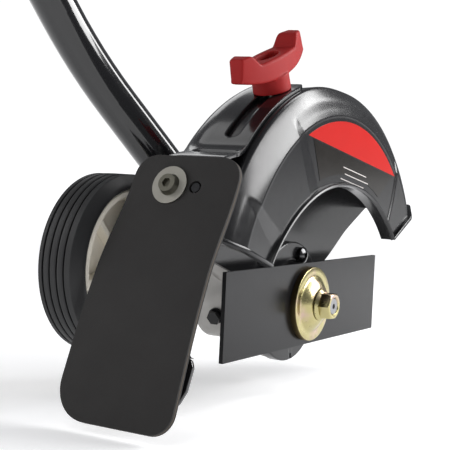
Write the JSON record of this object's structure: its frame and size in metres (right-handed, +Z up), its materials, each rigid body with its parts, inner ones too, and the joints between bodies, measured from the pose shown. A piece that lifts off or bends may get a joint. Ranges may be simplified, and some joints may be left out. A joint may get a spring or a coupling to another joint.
{
  "type": "lawn edger attachment",
  "caption": "Powered lawn edger head on a bent drive tube, with a spinning bar blade under an arched guard, a depth wheel on an adjusting bracket and a rubber flap.",
  "frame": {"origin": "in the upper end of the shaft tube, on its axis, where the power head's coupler holds it", "axes": "+X outboard along the blade's arbor, +Y forward, +Z up, with the head at the attitude in which it is carried"},
  "size_m": [0.2948, 0.5158, 0.7019],
  "materials": {
    "tube_paint": "gloss black enamel",
    "bracket_paint": "gloss black powder coat",
    "blade_steel": "satin blackened steel",
    "guard_plastic": "satin black moulded plastic",
    "knob_plastic": "matte red moulded plastic",
    "flap_rubber": "matte charcoal sheet rubber",
    "tyre_rubber": "matte black rubber",
    "hub_plastic": "satin off-white plastic",
    "zinc_yellow": "yellow chromate zinc plate",
    "zinc_dull": "dull zinc plate",
    "bare_steel": "machined steel",
    "cast_aluminium": "bare die-cast aluminium",
    "bronze": "sintered bronze or brass",
    "black_rubber": "moulded black rubber",
    "liner_nylon": "natural nylon",
    "label_film": null
  },
  "bodies": {
    "frame": {"shaft_tube": "tube_paint", "tube_liner": "liner_nylon", "flexible_core": "bare_steel", "end_bush": "bronze", "gear_case": "cast_aluminium", "case_cap": "cast_aluminium", "cap_screws": "zinc_dull", "input_bearing": "bare_steel", "arbor_bearings": "bare_steel", "oil_seal": "black_rubber", "grease_plug": "guard_plastic", "clamp_screw": "zinc_dull", "locating_screw": "zinc_dull", "guard": "guard_plastic", "guard_screws": "zinc_dull", "guard_label": "label_film", "knob_bolt": "zinc_dull"},
    "drive_end": {"drive_square": "bare_steel"},
    "button": {"release_button": "bare_steel", "button_spring": "bare_steel"},
    "pinion": {"pinion_shaft": "bare_steel", "bearing_circlip": "bare_steel"},
    "arbor": {"bevel_gear": "bare_steel", "arbor_shaft": "bare_steel", "inner_flange": "blade_steel", "blade": "blade_steel", "retainer_washer": "zinc_yellow", "flange_nut": "zinc_yellow"},
    "knob": {"knob": "knob_plastic", "knob_insert": "bronze", "knob_washer": "zinc_dull"},
    "bracket": {"wheel_bracket": "bracket_paint", "flap_head": "flap_rubber", "flap_washer": "zinc_dull", "flap_screw": "zinc_dull", "flap_nut": "zinc_dull", "flap_stud": "guard_plastic", "axle_bolt": "zinc_dull", "axle_spacer": "zinc_dull", "axle_washers": "zinc_dull", "axle_nut": "zinc_dull"},
    "flap": {"flap_skirt": "flap_rubber"},
    "wheel": {"wheel_hub": "hub_plastic", "wheel_bush": "bronze", "tyre": "tyre_rubber"}
  },
  "joints": [
    {"name": "blade_spin", "type": "hinge", "parent": "frame", "child": "arbor", "pos_m": [0.25304, 0.37907, -0.63655], "axis": [1, 0, 0], "continuous": true},
    {"name": "pinion_spin", "type": "hinge", "parent": "frame", "child": "pinion", "pos_m": [0.22204, 0.37907, -0.63655], "axis": [-0.4833, -0.4177, 0.7694], "continuous": true},
    {"name": "drive_spin", "type": "hinge", "parent": "frame", "child": "drive_end", "pos_m": [0, 0, 0], "axis": [-0.2227, -0.5081, 0.832], "continuous": true},
    {"name": "release_press", "type": "slide", "parent": "frame", "child": "button", "axis": [-0.9625, 0.2503, -0.1047], "range_m": [0, 0.003], "stiffness_N_per_m": 1500, "springref_m": -0.001},
    {"name": "knob_turn", "type": "hinge", "parent": "frame", "child": "knob", "pos_m": [0.24974, 0.32834, -0.51101], "axis": [0, -0.3746, 0.9272], "range_deg": [0, 720]},
    {"name": "depth_adjust", "type": "hinge", "parent": "frame", "child": "bracket", "pos_m": [0.25304, 0.37907, -0.63655], "axis": [1, 0, 0], "range_deg": [-14, 0]},
    {"name": "flap_flex", "type": "hinge", "parent": "bracket", "child": "flap", "pos_m": [0.25304, 0.23633, -0.58207], "axis": [1, 0, 0], "range_deg": [-30, 0], "stiffness_Nm_per_rad": 0.4, "springref_deg": 20.05},
    {"name": "wheel_spin", "type": "hinge", "parent": "bracket", "child": "wheel", "pos_m": [0.20304, 0.26407, -0.61055], "axis": [1, 0, 0], "continuous": true}
  ],
  "couplings": [
    {"joint": "pinion_spin", "follows": "blade_spin", "ratio": 1.3333},
    {"joint": "drive_spin", "follows": "blade_spin", "ratio": 1.3333}
  ]
}
